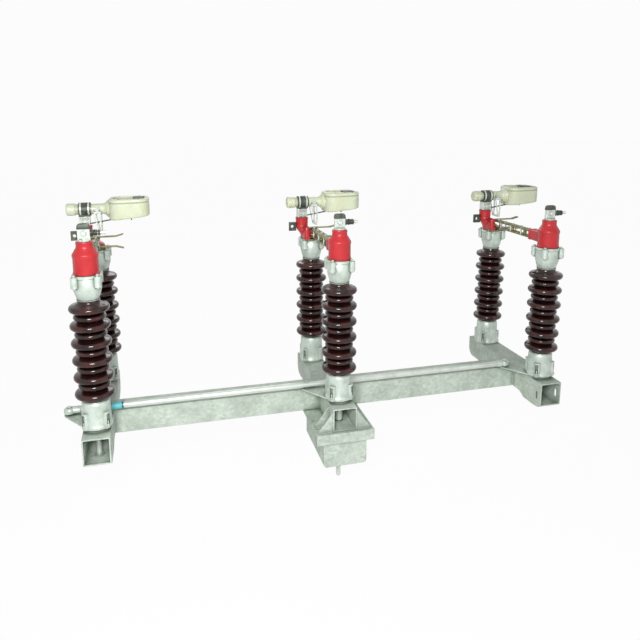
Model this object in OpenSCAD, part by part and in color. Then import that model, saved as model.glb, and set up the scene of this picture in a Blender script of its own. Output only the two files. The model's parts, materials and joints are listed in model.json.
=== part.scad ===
// Three-pole side-break load break switch for an outdoor line, drawn closed.
// Three hollow steel arms cross one beam. Each arm carries two porcelain posts:
// the front post turns and carries the blade, the rear post stands still and
// carries the jaw and the interrupter. One rod joins the cranks of the three
// turning posts, and the drive shaft turns the centre one.
// Millimetres. The origin is the centre of the four bolt holes in the mounting
// plate, on its underside. +X runs along the beam, +Y from the front posts to
// the rear posts, +Z up.

/* [Frame] */
// Distance between neighbouring poles
pole_pitch = 900; // [740:10:1200]
// Distance between the front and the rear post of a pole
row_pitch = 445; // [400:5:600]
// Width of a cross arm
arm_w = 95; // [85:1:120]
// Height of a cross arm
arm_h = 92; // [76:1:115]
// Wall of the arms and of the beam
frame_t = 5; // [4:0.5:8]
// Length of a cross arm ahead of its front post
arm_front = 90; // [80:1:120]
// Length of a cross arm behind its rear post
arm_rear = 80; // [70:1:120]
// How far an outer arm deepens under its front post
lobe_drop = 18; // [8:1:30]
// Distance from a front post's axis to the front of the beam
beam_gap = 118; // [110:1:160]
// Depth of the beam, front to back
beam_d = 100; // [80:1:120]

/* [Mounting plate] */
// Width of the plate
plate_w = 230; // [220:1:300]
// Thickness of the plate, its lip and the gussets
plate_t = 6; // [5:0.5:10]
// Height of the turned-down lip
lip_h = 35; // [20:1:50]
// Distance between the bolt holes along the beam
bolt_span_x = 198; // [192:1:204]
// Distance between the bolt holes across the beam
bolt_span_y = 70; // [60:1:80]
// Diameter of the bolt holes
bolt_hole_d = 14; // [11:1:16]
// Distance from the centre of the bolt holes back to the front posts
post_setback = 15; // [5:1:25]

/* [Mechanism box] */
// Width of the box
box_w = 172; // [140:1:176]
// Height of the box
box_h = 135; // [110:1:180]
// Length of the box, front to back
box_len = 285; // [220:5:310]
// Wall of the box
box_t = 4; // [3:0.5:6]

/* [Drive] */
// Diameter of the spindles and of the drive shaft
spindle_d = 20; // [16:1:24]
// Length of the drive shaft below the box
shaft_out = 97; // [82:1:160]
// Sideways reach of a crank from its post to its pin, when closed
crank_x = 105; // [90:1:115]
// Reach of a crank towards the beam, when closed
crank_y = 105; // [95:1:115]
// Thickness of a crank
crank_t = 6; // [5:0.5:8]
// Outside diameter of the rod that joins the cranks
rod_d = 24; // [20:1:30]
// Diameter of the crank pins
crank_pin_d = 12; // [10:1:14]

/* [Posts] */
// Height of the lower casting above the arm
foot_top = 107.5; // [90:0.5:130]
// Radius of the lower casting
foot_r = 50; // [44:1:56]
// Length of the porcelain that shows
porcelain_h = 370.5; // [300:0.5:445]
// Radius of the porcelain between its sheds
core_r = 37; // [32:0.5:42]
// Radius of the large sheds
shed_r = 68; // [58:0.5:80]
// Radius of the small sheds
small_shed_r = 54; // [48:0.5:60]
// Number of large sheds
sheds = 6; // [5:1:6]
// Height of the upper casting
cap_h = 87; // [75:1:105]
// Radius of the upper casting
cap_r = 47; // [42:1:54]

/* [Contacts] */
// Width of the blade
blade_w = 30; // [24:1:34]
// Height of the blade over its two bars
blade_h = 34; // [30:1:41]
// Thickness of one blade bar
bar_t = 7; // [5:0.5:9]
// Distance from the blade's tip to the rear post's axis
tip_gap = 40; // [37:1:46]
// Thickness of the jaw's fingers
finger_t = 4; // [3:0.5:6]
// Radius of the red hinge cover
cover_r = 44; // [40:1:50]
// Height of the red hinge cover
cover_h = 113; // [100:1:130]
// Diameter of the stud that takes the conductor
stud_d = 13; // [10:1:16]

/* [Interrupter] */
// Height of the interrupter's axis above the post
tube_rise = 163; // [156:1:190]
// Radius of the interrupter's tube
tube_r = 21; // [18:0.5:24]
// Length of the interrupter's housing
housing_len = 158; // [130:1:190]
// Depth of the interrupter's housing, front to back
housing_d = 130; // [100:1:150]
// Height of the interrupter's housing
housing_h = 88; // [75:1:100]

/* [Hidden] */
$fn = 48;

// Clearances
shaft_fit = 0.05;   // a shaft in its bearing, all round
open_pin_fit = 0.3; // the pins of the outer cranks, all round
run_gap = 0.3;      // between faces that slide over each other
seat_gap = 0.2;     // round a piece that is fixed in a hole

// Places on the frame
frame_top = plate_t + arm_h;
front_y = post_setback;
rear_y = front_y + row_pitch;
beam_y = front_y + beam_gap;
plate_front = front_y - arm_front - 15;
lobe_flat = 24;     // the lobe's floor is level up to here behind the post
lobe_back = 72;     // and rises to the arm's depth here
lobe_nose = 12;     // the floor's rise at the front end
nose_run = 36;
arm_end_r = 42;
slot_w = 15;
slot_h = 34;
slot_y = -60;
slot_z = -58;
gusset_top = 12;    // below the arm's top
gusset_edge = 8;    // in from the plate's edge

// Bearings
spindle_r = spindle_d / 2;
boss_r = spindle_r + 6;
collar_r = arm_w / 2 - 1;
collar_t = 5.5;
bush_r = boss_r + 6;
bush_t = 5;
ring_r = spindle_r + 5;
ring_h = 8;
shaft_hole_r = spindle_r + 8;
box_front = plate_front + plate_t + 4;
box_corner = 14;
stub_r = spindle_r - 1;
stub_len = 60;
stub_bevel = 4;

// Cranks and the rod
crank_z = collar_t + run_gap;
crank_top = crank_z + crank_t;
crank_len = norm([crank_x, crank_y]);
crank_hub_r = min(44, collar_r - 1);
crank_eye_r = crank_pin_d / 2 + 13;
rod_r = rod_d / 2;
rod_t = 2.5;
rod_z = crank_top + 2 + rod_r;
rod_end_r = crank_pin_d / 2 + 14;
pin_foot = 2.8;     // a pin's length below its crank
pin_head = 3;       // and above the rod
band_len = 50;
band_x = 35;        // from the left post's axis
band_t = 1;

// Castings of the posts
cap_foot = foot_top + porcelain_h;
post_top = cap_foot + cap_h;
flange_r = foot_r + 4;
flange_t = 9;
lug_r = 13;
lug_h = 52;
lug_bolt_r = 6.5;
ear_r = 12;
ear_h = 38;
ear_bolt_r = 5;
shed_foot = 27;     // first large shed above the foot
shed_pitch = (porcelain_h - shed_foot - 32) / (sheds - 1);
shed_lip = 7;
small_shed_lip = 5;

// Hinge cover, blade and jaw, above the arm's top
blade_z = post_top + 18;
blade_top = blade_z + blade_h;
blade_root = cover_r + 16;
blade_tip = row_pitch - tip_gap;
sleeve_wall = 6;
sleeve_end = cover_r + 71;
neck_r = cover_r - 15.5;
shoulder_z = cover_h - 35;
stem_r = 12;
stem_len = 30;
spacer_r = 7;
spacers = 3;
jaw_gap = 1.5;      // between a finger and the blade
jaw_t = 6;
jaw_r = cap_r - 5;
jaw_back = -35;     // the fingers' rear edge, from the rear post's axis
jaw_front = -60;
riser_x = -blade_w / 2 - 9;
riser_w = 12;
mouth_x = 75;
mouth_len = 30;
mouth_flare = 8;

// Terminal strap on the hinge cover
strap_w = 40;
strap_t = 14;
strap_eye = 34;     // height of the round top's centre above the washer
washer_r = 22;
washer_t = 6;
stud_z = 22;
stud_len = 50;

// Boot, bracket and clamp on the rear post
boot_x = -42;
boot_r = 27;
boot_foot_r = 31;
boot_z = post_top + 35;
tube_z = post_top + tube_rise;
clamp_len = 46;
clamp_wall = 6;
clamp_drop = tube_r + clamp_wall + 1;
bracket_w = 42;
bracket_d = 34;
bracket_h = 39;
boot_top = tube_z - clamp_drop - bracket_h;
pad_reach = 31;
pad_t = 12;
pad_h = 38;
pad_z = post_top + 56;
pad_hole_r = 7;
pad_hole_x = 17;    // from the boot's side

// Interrupter, from the rear post's axis
knob_x = -110;
knob_len = 36;
knob_r = tube_r + 4;
neck_x = 36;
housing_x = 54;
housing_end = housing_x + housing_len;
housing_front_r = min(40, housing_d / 2 - 1);
housing_back_r = 30;
housing_top = housing_h / 2 - 1;
housing_floor = -housing_h / 2 - 1;
housing_rise = 15;  // of its underside, towards the free end
brace_t = 4;
brace_w = 12;
brace_x = 86;       // along the housing's underside
brace_tab = 14;

// Trip lever, from its pin
lever_x = 8;
lever_pin_r = 4;
lever_eye_r = 9;
lever_t = 4;
lever_y = tube_r + 2;
lever_len = 100;

// Points along an arc about c, from angle a0 to angle a1
function arc(c, r, a0, a1, steps = 8) =
    [for (i = [0:steps]) let (a = a0 + (a1 - a0) * i / steps) c + r * [cos(a), sin(a)]];

// Side outline of an arm as [y from the front post, z from the arm's top],
// drawn in by inset. The underside sweeps down by drop to the lobe under the
// front post and rises again by nose at the front end, which a cavity passes.
function arm_outline(inset, drop, nose) = let (
    z = inset - arm_h,
    y = row_pitch + arm_rear - inset,
    r = arm_end_r - inset,
    front = -arm_front - (inset > 0 ? 1 : 0)
) concat(
    [[front, -inset], [y, -inset]],
    arc([y - r, z + r], r, 0, -90),
    [for (t = [0:0.1:1]) [
        lobe_back - (lobe_back - lobe_flat) * t,
        z - drop * (1 - cos(180 * t)) / 2
    ]],
    [for (t = [0:0.2:1]) [-arm_front + nose_run * (1 - t), z - drop + nose * t * t]],
    [[front, z - drop + nose]]
);

// Outline of a box section with round lower corners, as [x, z] with the top at 0
function box_outline(w, h, r) = concat(
    [[-w / 2, 0]],
    arc([r - w / 2, r - h], r, 180, 270),
    arc([w / 2 - r, r - h], r, 270, 360),
    [[w / 2, 0]]
);

// One shed as [r, z]: a flat underside, a round lip and a sloping top
function shed(r, lip, z) = concat(
    [[core_r, z - lip - 3], [r - lip - 3, z - lip]],
    arc([r - lip, z], lip, -75, 60, 5),
    [[core_r + 6, z + lip + 5], [core_r, z + lip + 8]]
);

// Plan of the interrupter's housing, with rounder corners at its neck
function housing_plan() = let (w = housing_d / 2, a = housing_front_r, b = housing_back_r) concat(
    arc([housing_x + a, a - w], a, 180, 270),
    arc([housing_end - b, b - w], b, 270, 360),
    arc([housing_end - b, w - b], b, 0, 90),
    arc([housing_x + a, w - a], a, 90, 180)
);

module on_front(i) translate([i * pole_pitch, front_y, frame_top]) children();
module on_rear(i) translate([i * pole_pitch, rear_y, frame_top]) children();
module each_pole() for (i = [-1:1]) translate([i * pole_pitch, 0, 0]) children();
module each_rear() for (i = [-1:1]) on_rear(i) children();
module each_corner(r) for (a = [45:90:315]) rotate(a) translate([r, 0, 0]) children();
// Carries an outline drawn in Y and Z across the middle of X
module across(w) translate([-w / 2, 0, 0]) rotate([90, 0, 90]) linear_extrude(w) children();
// Carries an outline drawn in X and Z from y for a length
module along(y, len) translate([0, y + len, 0]) rotate([90, 0, 0]) linear_extrude(len) children();
module tube_x(x, len, r1, r2 = -1) translate([x, 0, 0]) rotate([0, 90, 0])
    cylinder(r1 = r1, r2 = r2 < 0 ? r1 : r2, h = len);

module galvanised() color([0.72, 0.78, 0.72]) children();
module casting() color([0.76, 0.80, 0.77]) children();
module glaze() color([0.22, 0.10, 0.08]) children();
module red() color([0.80, 0.16, 0.18]) children();
module dark_metal() color([0.25, 0.27, 0.25]) children();
module contact_metal() color([0.58, 0.54, 0.32]) children();
module cream() color([0.88, 0.91, 0.80]) children();

// ---- frame ----

module side_slot() {
    translate([0, slot_y, slot_z]) {
        cube([arm_w + 2, slot_w, slot_h - slot_w], center = true);
        for (s = [-1, 1]) translate([-arm_w / 2 - 1, 0, s * (slot_h - slot_w) / 2])
            tube_x(0, arm_w + 2, slot_w / 2);
    }
}

module cross_arm(drop, nose, floor_hole_r) {
    difference() {
        across(arm_w) polygon(arm_outline(0, drop, nose));
        across(arm_w - 2 * frame_t) polygon(arm_outline(frame_t, drop, nose));
        translate([0, 0, -frame_t - 1]) cylinder(r = boss_r + seat_gap, h = frame_t + 2);
        translate([0, 0, -arm_h - drop - 1]) cylinder(r = floor_hole_r, h = frame_t + 2);
        if (drop > 0) side_slot();
    }
}

module cross_arms() galvanised() {
    on_front(-1) cross_arm(lobe_drop, lobe_nose, boss_r + seat_gap);
    on_front(0) cross_arm(0, 0, shaft_hole_r);
    on_front(1) cross_arm(lobe_drop, lobe_nose, boss_r + seat_gap);
}

module main_beam() galvanised() {
    bay = pole_pitch - arm_w;
    for (i = [-1, 1]) translate([i * pole_pitch / 2 - bay / 2, beam_y, plate_t]) difference() {
        cube([bay, beam_d, arm_h]);
        translate([-1, frame_t, frame_t]) cube([bay + 2, beam_d - 2 * frame_t, arm_h - 2 * frame_t]);
    }
}

module mounting_plate() galvanised() difference() {
    union() {
        translate([-plate_w / 2, plate_front, 0]) cube([plate_w, beam_y + beam_d - plate_front, plate_t]);
        translate([-plate_w / 2, plate_front, -lip_h]) cube([plate_w, plate_t, lip_h + plate_t]);
    }
    for (x = [-1, 1], y = [-1, 1]) translate([x * bolt_span_x / 2, y * bolt_span_y / 2, -1])
        cylinder(d = bolt_hole_d, h = plate_t + 2);
    translate([0, front_y, -1]) cylinder(r = shaft_hole_r, h = plate_t + 2);
}

module gussets() galvanised() {
    arm_end = front_y - arm_front;
    for (s = [-1, 1], y = [arm_end + 2, -bolt_span_y / 4]) along(y, plate_t) polygon([
        [s * arm_w / 2, plate_t],
        [s * (plate_w / 2 - gusset_edge), plate_t],
        [s * arm_w / 2, frame_top - gusset_top]
    ]);
}

module mechanism_box() galvanised() difference() {
    along(box_front, box_len) polygon(box_outline(box_w, box_h, box_corner));
    along(box_front + box_t, box_len - 2 * box_t) translate([0, 1])
        polygon(box_outline(box_w - 2 * box_t, box_h - box_t + 1, box_corner - box_t));
    translate([0, front_y, -box_h - 1]) cylinder(r = boss_r + seat_gap, h = box_t + 2);
}

module bearing_collar() difference() {
    union() {
        cylinder(r = collar_r, h = collar_t);
        translate([0, 0, -frame_t - 6]) cylinder(r = boss_r, h = frame_t + 7);
    }
    translate([0, 0, -frame_t - 7]) cylinder(r = spindle_r + shaft_fit, h = collar_t + frame_t + 8);
}

// A flanged bush from z = 0 upwards, with its flange at the bottom
module bush(wall) difference() {
    union() {
        cylinder(r = bush_r, h = bush_t);
        cylinder(r = boss_r, h = bush_t + wall + 4);
    }
    translate([0, 0, -1]) cylinder(r = spindle_r + shaft_fit, h = bush_t + wall + 6);
}

module bearings() casting() {
    for (i = [-1:1]) on_front(i) bearing_collar();
    for (i = [-1, 1]) on_front(i) translate([0, 0, -arm_h - lobe_drop - bush_t]) bush(frame_t);
    translate([0, front_y, -box_h + box_t + bush_t]) mirror([0, 0, 1]) bush(box_t - 4);
}

// ---- posts ----

// Lower casting from height z up to the porcelain, with four bolted lugs
module foot(z) casting() difference() {
    union() {
        rotate_extrude() polygon([
            [0, z], [flange_r, z], [flange_r, z + flange_t], [foot_r + 1, z + flange_t + 4],
            [foot_r - 2, foot_top - 6], [foot_r - 5, foot_top], [0, foot_top]
        ]);
        each_corner(foot_r - 3) translate([0, 0, z]) cylinder(r = lug_r, h = flange_t + lug_h);
    }
    each_corner(foot_r + 6) translate([0, 0, z + flange_t]) cylinder(r = lug_bolt_r, h = lug_h - 6);
}

module porcelain() glaze() rotate_extrude() polygon(concat(
    [[0, foot_top], [core_r, foot_top]],
    [for (i = [0:2 * sheds - 2]) each i % 2 == 0
        ? shed(shed_r, shed_lip, foot_top + shed_foot + i * shed_pitch / 2)
        : shed(small_shed_r, small_shed_lip, foot_top + shed_foot + i * shed_pitch / 2)],
    [[core_r, cap_foot], [0, cap_foot]]
));

module cap() casting() difference() {
    union() {
        rotate_extrude() polygon([
            [0, cap_foot], [core_r - 1, cap_foot], [core_r + 4, cap_foot + 14], [cap_r, cap_foot + 36],
            [cap_r, post_top - 12], [cap_r - 3, post_top - 8], [cap_r - 3, post_top], [0, post_top]
        ]);
        each_corner(cap_r + 6) translate([0, 0, post_top - ear_h - 2]) cylinder(r = ear_r, h = ear_h);
    }
    each_corner(cap_r + 10) translate([0, 0, post_top - ear_h - 3]) cylinder(r = ear_bolt_r, h = ear_h + 2);
}

// ---- turning post: spindle, crank, cover, blade ----

module spindle() dark_metal() {
    low = -arm_h - lobe_drop - bush_t;
    translate([0, 0, low - run_gap - ring_h]) cylinder(r = ring_r, h = ring_h);
    translate([0, 0, low - run_gap - ring_h - 4]) cylinder(r = spindle_r, h = crank_top - low + run_gap + ring_h + 4);
}

module drive_shaft() dark_metal() {
    low = -frame_top - box_h;
    stub = low - shaft_out;
    translate([0, 0, stub]) cylinder(r1 = stub_r - stub_bevel, r2 = stub_r, h = stub_bevel);
    translate([0, 0, stub + stub_bevel]) cylinder(r = stub_r, h = stub_len);
    translate([0, 0, stub + stub_bevel + stub_len])
        cylinder(r = spindle_r, h = crank_top - stub - stub_bevel - stub_len);
    translate([0, 0, low + box_t + bush_t + run_gap]) cylinder(r = ring_r, h = ring_h);
}

// A lever plate: two discs and the tangents that join them
module lever_plan(r1, r2, len) {
    a = acos((r1 - r2) / len);
    circle(r = r1);
    translate([len, 0]) circle(r = r2);
    polygon([
        r1 * [cos(a), -sin(a)], [len, 0] + r2 * [cos(a), -sin(a)],
        [len, 0] + r2 * [cos(a), sin(a)], r1 * [cos(a), sin(a)]
    ]);
}

module crank(pin_fit) galvanised() translate([0, 0, crank_z]) rotate(atan2(crank_y, -crank_x)) difference() {
    linear_extrude(crank_t) lever_plan(crank_hub_r, crank_eye_r, crank_len);
    translate([0, 0, -1]) cylinder(r = spindle_r + run_gap, h = crank_t + 2);
    translate([crank_len, 0, -1]) cylinder(r = crank_pin_d / 2 + pin_fit, h = crank_t + 2);
}

module hinge_cover() red() difference() {
    union() {
        rotate_extrude() polygon([
            [0, post_top], [cover_r, post_top], [cover_r, post_top + shoulder_z],
            [neck_r, post_top + shoulder_z + 9], [neck_r, post_top + cover_h], [0, post_top + cover_h]
        ]);
        translate([-blade_w / 2 - sleeve_wall, 0, blade_z - sleeve_wall])
            cube([blade_w + 2 * sleeve_wall, sleeve_end, blade_h + 2 * sleeve_wall]);
    }
    translate([-blade_w / 2 - seat_gap, blade_root, blade_z - seat_gap])
        cube([blade_w + 2 * seat_gap, sleeve_end, blade_h + 2 * seat_gap]);
    translate([0, 0, post_top + cover_h - stem_len]) cylinder(r = stem_r + shaft_fit, h = stem_len + 1);
}

module blade() contact_metal() {
    reach = blade_tip - blade_root;
    for (z = [blade_z, blade_top - bar_t]) translate([-blade_w / 2, blade_root, z]) cube([blade_w, reach, bar_t]);
    for (i = [0:spacers]) translate([0, blade_root + spacer_r + 2 + i * (reach - 45) / spacers, blade_z + 1])
        cylinder(r = spacer_r, h = blade_h - 2);
}

module terminal() casting() translate([0, 0, post_top + cover_h]) {
    translate([0, 0, run_gap + 0.2 - stem_len]) cylinder(r = stem_r, h = stem_len);
    translate([0, 0, run_gap]) cylinder(r = washer_r, h = washer_t);
    translate([-strap_w / 2, -strap_t / 2, washer_t]) cube([strap_w, strap_t, strap_eye]);
    translate([0, strap_t / 2, washer_t + strap_eye]) rotate([90, 0, 0]) cylinder(d = strap_w, h = strap_t);
    translate([0, 0, washer_t + stud_z]) tube_x(strap_w / 2 - 1, stud_len + 1, stud_d / 2);
}

// ---- fixed post: jaw, boot, interrupter ----

// One finger as an outline in X and Z: flat, then flared away from the blade
module finger(z, side) along(jaw_front + 3, jaw_back - jaw_front - 3) translate([0, z]) polygon([
    [riser_x - riser_w, 0], [mouth_x, 0], [mouth_x + mouth_len, side * mouth_flare],
    [mouth_x + mouth_len, side * (mouth_flare + finger_t)], [mouth_x, side * finger_t],
    [riser_x - riser_w, side * finger_t]
]);

module jaw() contact_metal() {
    low = blade_z - jaw_gap;
    high = blade_top + jaw_gap;
    translate([0, 0, post_top]) cylinder(r = jaw_r, h = jaw_t);
    translate([riser_x - riser_w, jaw_front, post_top]) cube([riser_w - riser_x, -jaw_front, jaw_t]);
    translate([riser_x - riser_w, jaw_front, post_top])
        cube([riser_w, jaw_back - jaw_front, high + finger_t - post_top]);
    finger(low, -1);
    finger(high, 1);
}

module boot() red() hull() {
    translate([0, 0, post_top + jaw_t]) cylinder(r = boot_foot_r, h = 6, $fn = 32);
    translate([boot_x, 0, boot_z]) cylinder(r = boot_r, h = boot_top - boot_z, $fn = 32);
}

module rear_terminal() dark_metal() difference() {
    translate([boot_x - boot_r - pad_reach, -pad_t / 2, pad_z - pad_h / 2]) cube([pad_reach + 8, pad_t, pad_h]);
    translate([boot_x, 0, pad_z - pad_h]) cylinder(r = boot_r + seat_gap, h = 2 * pad_h);
    translate([boot_x - boot_r - pad_hole_x, pad_t, pad_z]) rotate([90, 0, 0])
        cylinder(r = pad_hole_r, h = 2 * pad_t);
}

module bracket() dark_metal() translate([boot_x - bracket_w / 2, -bracket_d / 2, boot_top])
    cube([bracket_w, bracket_d, bracket_h]);

module tube_clamp() dark_metal() translate([0, 0, tube_z]) difference() {
    union() {
        tube_x(boot_x - clamp_len / 2 + 3, clamp_len, tube_r + clamp_wall);
        translate([boot_x - bracket_w / 2, -bracket_d / 2, -clamp_drop]) cube([bracket_w, bracket_d, clamp_drop - 8]);
    }
    tube_x(boot_x - clamp_len, 2 * clamp_len, tube_r + seat_gap);
}

module interrupter() cream() translate([0, 0, tube_z]) difference() {
    union() {
        tube_x(knob_x, knob_len, knob_r);
        tube_x(knob_x + 1, housing_x - knob_x, tube_r);
        tube_x(neck_x, housing_x + 2 - neck_x, tube_r + 1, tube_r + 17);
        intersection() {
            translate([0, 0, housing_floor]) linear_extrude(housing_h + 2) polygon(housing_plan());
            along(-housing_d, 2 * housing_d) polygon([
                [housing_x, housing_floor], [housing_end, housing_floor + housing_rise],
                [housing_end, housing_top], [housing_x, housing_top]
            ]);
        }
    }
    translate([lever_x, tube_r + 1, 0]) rotate([90, 0, 0])
        cylinder(r = lever_pin_r + seat_gap, h = 2 * tube_r + 2);
}

// The brace under the housing, from the bracket to a tab near its middle
module support_strap() dark_metal() translate([0, 0, tube_z]) {
    x0 = boot_x + bracket_w / 2;
    z0 = housing_floor - 12;
    x2 = housing_x + brace_x;
    z2 = housing_floor + housing_rise * brace_x / housing_len;
    along(-brace_w / 2, brace_w) polygon([
        [x0, z0], [housing_x, housing_floor], [x2, z2], [x2, z2 - brace_tab], [x2 - brace_t, z2 - brace_tab],
        [x2 - brace_t, z2 - brace_t], [housing_x, housing_floor - brace_t], [x0, z0 - brace_t]
    ]);
}

module lever_pin() dark_metal() translate([lever_x, lever_y + lever_t + 3, tube_z]) rotate([90, 0, 0])
    cylinder(r = lever_pin_r, h = 2 * (lever_y + lever_t + 3));

// One side of the forked trip lever in X and Z, from the pin
module lever_side() difference() {
    union() {
        circle(r = lever_eye_r);
        polygon([[-14, -8], [14, -8], [16, -63], [14, -lever_len], [4, -lever_len]]);
    }
    polygon([[-8, -16], [8, -16], [10.5, -62], [9, 12 - lever_len], [6, 12 - lever_len]]);
    circle(r = lever_pin_r + shaft_fit);
}

module trip_lever() casting() translate([lever_x, 0, tube_z]) {
    for (y = [-lever_y - lever_t, lever_y]) along(y, lever_t) lever_side();
    translate([4, -lever_y - 1, -lever_len]) cube([10, 2 * lever_y + 2, 8]);
}

// ---- rod that joins the cranks ----

module on_pin(i) translate([i * pole_pitch - crank_x, front_y + crank_y, frame_top]) children();

module rod_tube() galvanised() difference() {
    on_pin(0) translate([0, 0, rod_z]) difference() {
        tube_x(-pole_pitch, 2 * pole_pitch, rod_r);
        tube_x(-pole_pitch - 1, 2 * pole_pitch + 2, rod_r - rod_t);
        translate([0, 0, -rod_d]) cylinder(r = crank_pin_d / 2 + seat_gap, h = 2 * rod_d);
    }
    for (i = [-1, 1]) on_pin(i) cylinder(r = rod_end_r + seat_gap, h = 2 * rod_z);
}

module rod_ends() casting() for (i = [-1, 1]) on_pin(i) translate([0, 0, rod_z - rod_r]) difference() {
    cylinder(r = rod_end_r, h = rod_d);
    translate([0, 0, -1]) cylinder(r = crank_pin_d / 2 + seat_gap, h = rod_d + 2);
}

module rod_pins() dark_metal() for (i = [-1:1]) on_pin(i) {
    translate([0, 0, crank_z - pin_foot]) cylinder(d = crank_pin_d, h = rod_z + rod_r + pin_head - crank_z + pin_foot);
    translate([0, 0, rod_z + rod_r + run_gap]) cylinder(d = crank_pin_d + 6, h = pin_head);
}

module rod_band() color([0.30, 0.75, 0.78]) translate([-pole_pitch + band_x, front_y + crank_y, frame_top + rod_z])
    difference() {
        tube_x(0, band_len, rod_r + band_t);
        tube_x(-1, band_len + 2, rod_r + seat_gap / 2);
    }

cross_arms();
main_beam();
mounting_plate();
gussets();
mechanism_box();
bearings();
each_rear() foot(0);  // rear_feet
each_rear() porcelain();  // rear_porcelains
each_rear() cap();  // rear_caps
each_rear() jaw();  // jaws
each_rear() boot();  // rear_boots
each_rear() rear_terminal();  // rear_terminals
each_rear() bracket();  // rear_brackets
each_rear() tube_clamp();  // tube_clamps
each_rear() interrupter();  // interrupters
each_rear() support_strap();  // support_straps
each_rear() lever_pin();  // lever_pins
on_front(-1) spindle();  // spindle_left
on_front(0) drive_shaft();
on_front(1) spindle();  // spindle_right
on_front(-1) crank(open_pin_fit);  // crank_left
on_front(0) crank(shaft_fit);  // crank_centre
on_front(1) crank(open_pin_fit);  // crank_right
on_front(-1) foot(crank_top);  // foot_left
on_front(0) foot(crank_top);  // foot_centre
on_front(1) foot(crank_top);  // foot_right
on_front(-1) porcelain();  // porcelain_left
on_front(0) porcelain();  // porcelain_centre
on_front(1) porcelain();  // porcelain_right
on_front(-1) cap();  // cap_left
on_front(0) cap();  // cap_centre
on_front(1) cap();  // cap_right
on_front(-1) hinge_cover();  // hinge_cover_left
on_front(0) hinge_cover();  // hinge_cover_centre
on_front(1) hinge_cover();  // hinge_cover_right
on_front(-1) blade();  // blade_left
on_front(0) blade();  // blade_centre
on_front(1) blade();  // blade_right
on_front(-1) terminal();  // terminal_left
on_front(0) terminal();  // terminal_centre
on_front(1) terminal();  // terminal_right
on_rear(-1) trip_lever();  // trip_lever_left
on_rear(0) trip_lever();  // trip_lever_centre
on_rear(1) trip_lever();  // trip_lever_right
rod_tube();
rod_ends();
rod_pins();
rod_band();
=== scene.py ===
"""Finishes and fittings of a three-pole load break switch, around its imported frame."""

import json
import math

import bmesh
import bpy
import numpy as np
from bpy.props import FloatProperty, FloatVectorProperty, IntProperty, PointerProperty
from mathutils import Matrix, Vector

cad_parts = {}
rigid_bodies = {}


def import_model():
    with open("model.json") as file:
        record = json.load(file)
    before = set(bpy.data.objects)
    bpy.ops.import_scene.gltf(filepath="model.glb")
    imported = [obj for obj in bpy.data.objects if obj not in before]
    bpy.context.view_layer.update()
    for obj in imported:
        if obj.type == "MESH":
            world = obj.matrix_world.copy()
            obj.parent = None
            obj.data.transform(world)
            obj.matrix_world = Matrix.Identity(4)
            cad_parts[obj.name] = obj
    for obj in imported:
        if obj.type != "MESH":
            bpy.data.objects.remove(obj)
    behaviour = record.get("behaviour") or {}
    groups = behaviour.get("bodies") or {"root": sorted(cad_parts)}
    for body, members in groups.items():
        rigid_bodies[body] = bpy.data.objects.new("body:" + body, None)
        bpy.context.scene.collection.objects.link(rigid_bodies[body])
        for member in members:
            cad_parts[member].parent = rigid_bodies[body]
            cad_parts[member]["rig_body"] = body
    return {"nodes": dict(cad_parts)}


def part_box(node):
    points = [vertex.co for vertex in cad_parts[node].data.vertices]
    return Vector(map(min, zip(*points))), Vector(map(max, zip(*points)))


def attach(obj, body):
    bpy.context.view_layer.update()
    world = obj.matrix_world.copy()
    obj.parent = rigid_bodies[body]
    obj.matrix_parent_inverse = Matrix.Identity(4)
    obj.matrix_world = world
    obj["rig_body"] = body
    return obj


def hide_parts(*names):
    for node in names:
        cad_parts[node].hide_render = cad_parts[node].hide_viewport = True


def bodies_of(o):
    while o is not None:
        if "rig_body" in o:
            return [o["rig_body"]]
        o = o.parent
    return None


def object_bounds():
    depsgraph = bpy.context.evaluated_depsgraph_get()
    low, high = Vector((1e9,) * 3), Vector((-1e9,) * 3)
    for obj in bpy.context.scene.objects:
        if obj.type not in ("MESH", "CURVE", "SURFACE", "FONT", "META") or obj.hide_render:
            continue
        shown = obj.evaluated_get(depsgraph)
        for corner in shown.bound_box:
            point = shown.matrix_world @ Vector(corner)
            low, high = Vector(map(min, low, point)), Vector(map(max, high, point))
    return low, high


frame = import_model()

bl_info = {
    "name": "Load break switch finishes",
    "version": (1, 0, 0),
    "blender": (4, 5, 0),
    "location": "View3D > Sidebar > Switch",
    "description": "Builds the visible surfaces of a three-pole load break switch on its frame",
    "category": "Object",
}


def middle(node, axis):
    """Middle of a node's box along one axis."""
    low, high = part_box(node)
    return (low[axis] + high[axis]) / 2


POLES = ("left", "centre", "right")
POLE_X = {pole: middle(f"porcelain_{pole}", 0) for pole in POLES}
FRONT_Y = middle("porcelain_centre", 1)
REAR_Y = middle("rear_porcelains", 1)
ARM_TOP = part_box("rear_feet")[0].z
FOOT_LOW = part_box("foot_left")[0].z
FOOT_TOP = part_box("porcelain_left")[0].z
CAP_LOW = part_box("porcelain_left")[1].z
POST_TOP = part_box("cap_left")[1].z
COVER_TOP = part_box("hinge_cover_left")[1].z
TUBE_Z = middle("lever_pins", 2)
CAD_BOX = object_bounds()


def linear(*rgb):
    """A display colour, 0 to 255, as linear light."""
    return tuple((c / 255 / 12.92) if c <= 10 else ((c / 255 + 0.055) / 1.055) ** 2.4 for c in rgb)


def colour(label, rgb):
    """A colour that a user can change, given as a display colour."""
    return FloatVectorProperty(
        name=label, description=f"Base colour of the {label.lower()}",
        subtype="COLOR", size=3, min=0, max=1, default=linear(*rgb),
    )


def size(label, text, metres):
    """A length that a user can change."""
    return FloatProperty(name=label, description=text, default=metres, min=0.0001, unit="LENGTH")


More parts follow.
